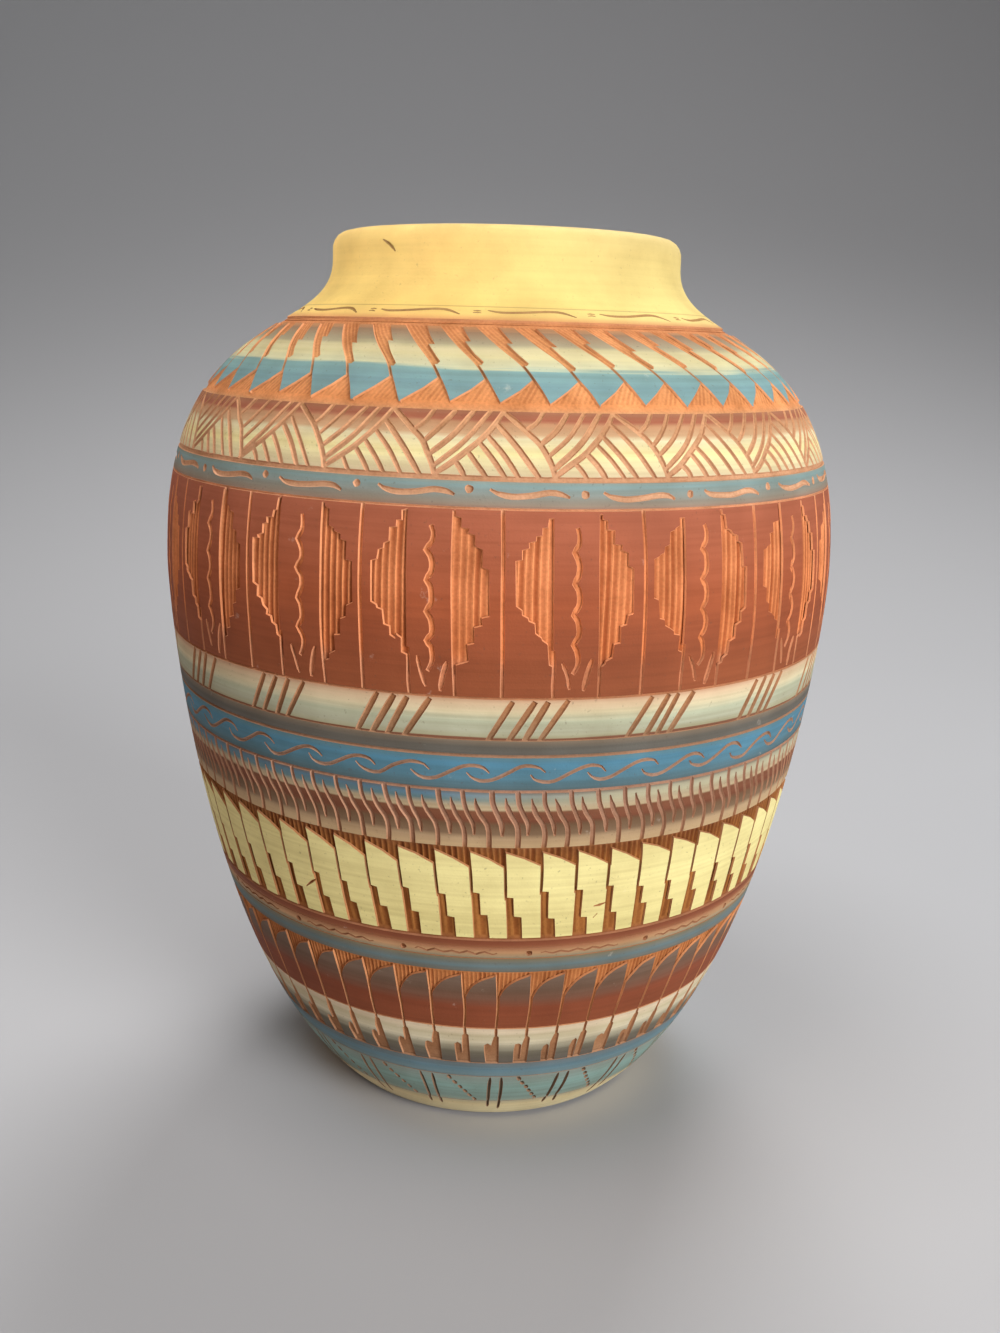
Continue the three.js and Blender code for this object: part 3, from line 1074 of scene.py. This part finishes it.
# Zigzag
# Cream slip with a yellow stripe, rust along its top. One zigzag runs round it. Strokes hang from its
# rising limbs, and others climb from its falling limbs to the upper edge.
ZIGZAGS = 21
ZIGZAG_FIRST = 0.3
ZIGZAG_WIDTH = 1.45
ZIGZAG_STEP = 3
FALL_SHARE = 0.44
FALL_BOW = 0.2
RISE_BOW = 0.12
HANGING_HEIGHTS = (3.2, 5.3, 7.6, 10.1, 12.6)
HANGING_LEAN = 0.78
HANGING_WIDTHS = (1.1, 1.5)
CLIMBING_STROKES = ((1.7, 12.4), (4.6, 9.5), (7.3, 6.8), (10.3, 4.2))
CLIMBING_WIDTHS = (1.1, 1.6)

zigzag = band_of("zigzag_coat")
top = zigzag.width
unit = zigzag.girth / ZIGZAGS


def falling(y):
    """How far right of its apex the falling limb is at a height."""
    share = 1 - y / top
    return FALL_SHARE * unit * (share + FALL_BOW * math.sin(math.pi * share))


def rising(y):
    """How far left of its apex the rising limb is at a height."""
    share = 1 - y / top
    return (1 - FALL_SHARE) * unit * (share - RISE_BOW * math.sin(math.pi * share))


hand = random.Random(34)
heights = even_steps(-0.3, top + 0.2, ZIGZAG_STEP)
cuts = []
for x in around(zigzag, ZIGZAGS, ZIGZAG_FIRST):
    cuts.append(pull([(falling(y), y) for y in heights], ZIGZAG_WIDTH, x, start=0.8))
    cuts.append(pull([(-rising(y), y) for y in heights], ZIGZAG_WIDTH, x, start=0.8))
    for y in HANGING_HEIGHTS:
        y += hand.uniform(-0.4, 0.4)
        limb, reach = -rising(y), HANGING_LEAN * y
        hanging = [(limb, y), (limb + reach * 0.55, y / 2), (limb + reach, -0.4)]
        cuts.append(pull(hanging, HANGING_WIDTHS, x, start=0.8))
    for y, reach in CLIMBING_STROKES:
        y += hand.uniform(-0.4, 0.4)
        limb = falling(y)
        climbing = [(limb, y), (limb + reach * 0.54, y + (top - y) * 0.46), (limb + reach, top + 0.4)]
        cuts.append(pull(climbing, CLIMBING_WIDTHS, x, slack=0.25, start=0.8))
zigzag_slip = slip("cream_and_rust_slip", [
    (0, "#d8c59e"), (0.22, "#ece0ac"), (0.33, "#efe1a3"), (0.56, "#e5d9b0"),
    (0.63, "#cfa780"), (0.79, "#c5946d"), (0.86, "#a9644a"), (1, "#a57054")])
coat(zigzag, cuts, zigzag_slip, wander=0.4)


# Shoulder feathers
# Stripes of turquoise, cream and grey-olive slip over the shoulder, cut into slanting feathers. Each
# has a stepped gouge at its top and a saw tooth, scraped bare, at its foot.
SHOULDER_FEATHERS = 45
FEATHER_FIRST = 7.5
QUILL = ((0, -0.3), (-1.4, 3.2), (-3.0, 6.6), (-5.8, 11.8), (-11.3, 18.6), (-17.6, 26.6))
QUILL_WIDTH = 0.7
GOUGE_TIP = 11.4
GOUGE_STEP = 18.4


def quill_x(y):
    """How far right of its foot the quill line is at a height."""
    for (x0, y0), (x1, y1) in zip(QUILL, QUILL[1:]):
        if y <= y1:
            return x0 + (x1 - x0) * (y - y0) / (y1 - y0)
    return QUILL[-1][0]


hand = random.Random(35)
top = feathers.width
unit = feathers.girth / SHOULDER_FEATHERS
tooth = [(0.2, -0.5), (-1.3, 3.2), (-2.9, 6.3), (-3.5, 7.0), (-6.2, 4.0),
         (-unit + 0.2, 0.4), (-unit + 0.2, -0.5)]
cuts = []
for x in around(feathers, SHOULDER_FEATHERS, FEATHER_FIRST):
    x += hand.uniform(-0.5, 0.5)
    cuts.append(pull(QUILL, QUILL_WIDTH, x, slack=0.12, start=0.9))
    tip, step = GOUGE_TIP + hand.uniform(-1.2, 0.8), GOUGE_STEP + hand.uniform(-1.5, 1.8)
    # Corners of the gouge: height on the quill, how far right of it, and own height above that
    gouge = [(tip, 0, 0), (tip, 1.2, -0.1), (tip, 1.6, 0.9), (15, 2.3, 0), (step, 2.9, 0), (step, 4.5, 0),
             (22, 5.0, 0), (top, 5.6, 0.6), (top, -0.4, 0.6), (22, 0, 0), (18, 0, 0), (14.5, 0, 0)]
    cuts.append(moved([(quill_x(y) + off, y + above) for y, off, above in gouge], x, slack=0.12))
    cuts.append(moved(tooth, x, slack=0.12))
feather_stripes = slip("turquoise_cream_and_olive_slip", [
    (0, "#80a1a1"), (0.2, "#799ca0"), (0.39, "#80a3a0"), (0.43, "#cccba6"), (0.55, "#d4cb9a"),
    (0.66, "#cdc296"), (0.74, "#a4997c"), (0.92, "#927459"), (1, "#b37f55")], drift=0.15)
coat(feathers, cuts, feather_stripes, wander=0.5)


# Neck
# Cream-yellow slip over the neck and the lip and a little way down inside the mouth. Near its lower
# edge runs a scratched scroll of long dashes with two short ones between them, under one line turned
# with a needle, so fine that its colour alone is drawn.
SCROLLS = 13
SCROLL_FIRST = -4.0
SCROLL_HEIGHT = 3.4
SCROLL_STROKE = ((0, 0.6), (3, -0.2), (8, 0), (15, 0.8), (18.5, 0.4), (21.5, -1.3))
SCROLL_WIDTH = 1.0
SHORT_DASH = ((-3.6, 0), (-2.5, 0.1), (-1.5, -0.1))
SHORT_DASH_WIDTH = 0.6
SHORT_DASH_RISES = (-0.4, 0.5)
NECK_NICK = ((-40.3, 24.9), (-37.8, 23.9), (-36.2, 22.9), (-35.2, 21.9))
NECK_NICK_WIDTH = 0.9
NECK_ROW = 1.5
NECK_SHARES = (0, 0.015, 0.05, 0.123, 0.129, 0.136, 0.5, 1)
# The left-hand colours are warmer and a little brighter: painted warm light on the left of the neck.
NECK_LEFT_WARM_LIT = ("#d89d62", "#e0ad6a", "#edc877", "#eecd78", "#be9b58", "#eecd78", "#eecc7b", "#e1bc77")
NECK_RIGHT = ("#cf975e", "#d8a96a", "#e3c87e", "#e5ce80", "#bd9f60", "#e5ce80", "#e5cf86", "#dbbf84")

hand = random.Random(36)
neck_band = band_of("neck_coat")
neck_band.girth = 2 * math.pi * point_at(wall, neck_band.low + SCROLL_HEIGHT).x
unit = neck_band.girth / SCROLLS
cuts = []
for x in around(neck_band, SCROLLS, SCROLL_FIRST):
    cuts.append(pull(SCROLL_STROKE, SCROLL_WIDTH, x, SCROLL_HEIGHT, start=0.4))
    for rise in SHORT_DASH_RISES:
        y = SCROLL_HEIGHT + rise
        cuts.append(pull(SHORT_DASH, SHORT_DASH_WIDTH, x + unit, y, slack=0.1, start=0.5))
cuts.append(nick(neck_band, NECK_NICK, NECK_NICK_WIDTH))
cream_yellow = slip("cream_yellow_slip", list(zip(NECK_SHARES, NECK_LEFT_WARM_LIT)), drift=0.006, rubs=0.2,
                    streaking=0.3, right_stops=list(zip(NECK_SHARES, NECK_RIGHT)))
coat(neck_band, cuts, cream_yellow, wander=0.3, row=NECK_ROW)

for guide in (clay_guide, wall_guide):
    bpy.data.objects.remove(guide)


# Floor and backdrop
# A plain pale sweep of paper: a floor that curves up into a wall behind the vase.
SWEEP_HALF_WIDTH = 3.0
SWEEP_NEAR = -2.5
SWEEP_FAR = 0.5
SWEEP_ROUND = 2.2
SWEEP_TOP = 4.0
SWEEP_STEPS = 40

sweep_line = [(SWEEP_NEAR, 0)]
for k in range(SWEEP_STEPS + 1):
    angle = math.pi / 2 * k / SWEEP_STEPS
    sweep_line.append((SWEEP_FAR + SWEEP_ROUND * math.sin(angle), SWEEP_ROUND * (1 - math.cos(angle))))
sweep_line.append((SWEEP_FAR + SWEEP_ROUND, SWEEP_TOP))
sweep_points = [(side * SWEEP_HALF_WIDTH, y, z) for y, z in sweep_line for side in (-1, 1)]
sweep_faces = [(2 * k, 2 * k + 1, 2 * k + 3, 2 * k + 2) for k in range(len(sweep_line) - 1)]
sweep_mesh = bpy.data.meshes.new("sweep")
sweep_mesh.from_pydata(sweep_points, [], sweep_faces)
sweep_mesh.shade_smooth()
paper, add = new_material("pale_backdrop_paper")
paper_shader = add("ShaderNodeBsdfPrincipled", {"Base Color": colour("#b8b8ba"), "Roughness": 0.9})
add("ShaderNodeOutputMaterial", {"Surface": paper_shader})
sweep_mesh.materials.append(paper)
sweep = bpy.data.objects.new("sweep", sweep_mesh)
bpy.context.scene.collection.objects.link(sweep)


# Light
# Soft studio light: a broad lamp to the right of the camera, a weak warm one on the left, one above,
# one behind, a small one for the neck, and an even pale surround.
VASE_MIDDLE = (0, 0, 0.12)
VASE_TOP = (0, 0, 0.25)
ABOVE_NECK = (0, 0, 0.265)
SURROUND_STRENGTH = 0.11


def soft_lamp(name, location, target, size, watts, spread=90, tint="#ffffff"):
    """A square area lamp that faces a point, its light held to a spread in degrees."""
    lamp = bpy.data.lights.new(name, "AREA")
    lamp.size = size
    lamp.spread = math.radians(spread)
    lamp.energy = watts
    lamp.color = colour(tint)[:3]
    lamp_object = bpy.data.objects.new(name, lamp)
    lamp_object.location = location
    facing = Vector(target) - Vector(location)
    lamp_object.rotation_euler = facing.to_track_quat("-Z", "Y").to_euler()
    bpy.context.scene.collection.objects.link(lamp_object)


soft_lamp("key_lamp", (1.66, -1.98, 0.85), VASE_MIDDLE, size=1.4, watts=21.0)
soft_lamp("fill_lamp", (-1.6, -1.2, 0.55), VASE_MIDDLE, size=1.2, watts=0.9, tint="#ffb468")
soft_lamp("top_lamp", (-0.35, -0.3, 1.8), VASE_TOP, size=0.9, watts=11.5, spread=180)
soft_lamp("back_lamp", (0.4, 1.3, 1.9), VASE_MIDDLE, size=1.0, watts=8)
soft_lamp("neck_lamp", (-1.0, -0.55, 0.7), ABOVE_NECK, size=0.12, watts=0.045, spread=10)
world = bpy.data.worlds.new("studio")
bpy.context.scene.world = world
world.use_nodes = True
world.node_tree.nodes.clear()
surround = add_node(world.node_tree, "ShaderNodeBackground", {
    "Color": colour("#f2f2f4"), "Strength": SURROUND_STRENGTH})
add_node(world.node_tree, "ShaderNodeOutputWorld", {"Surface": surround})


# Camera
# Close to the vase and a little above it, tipped down and rolled slightly, as the photograph was
# taken. Angles in radians, and the lens in pixels of the photograph.
PHOTO_HEIGHT = 1333
FOCAL_PIXELS = 1278.6
CENTRE_PIXELS_UP = 25.9
SENSOR_HEIGHT = 36
NEAREST = 0.01
CAMERA_PLACE = (0.00112, -0.37607, 0.21911)
CAMERA_DIP = 0.2327
CAMERA_ROLL = 0.0286

camera = bpy.data.cameras.new("camera")
camera.sensor_fit = "VERTICAL"
camera.sensor_height = SENSOR_HEIGHT
camera.lens = SENSOR_HEIGHT * FOCAL_PIXELS / PHOTO_HEIGHT
camera.shift_y = -CENTRE_PIXELS_UP / PHOTO_HEIGHT
camera.clip_start = NEAREST
camera_object = bpy.data.objects.new("camera", camera)
camera_object.location = CAMERA_PLACE
camera_object.rotation_mode = "ZYX"
camera_object.rotation_euler = (math.pi / 2 - CAMERA_DIP, 0, CAMERA_ROLL)
bpy.context.scene.collection.objects.link(camera_object)
bpy.context.scene.camera = camera_object
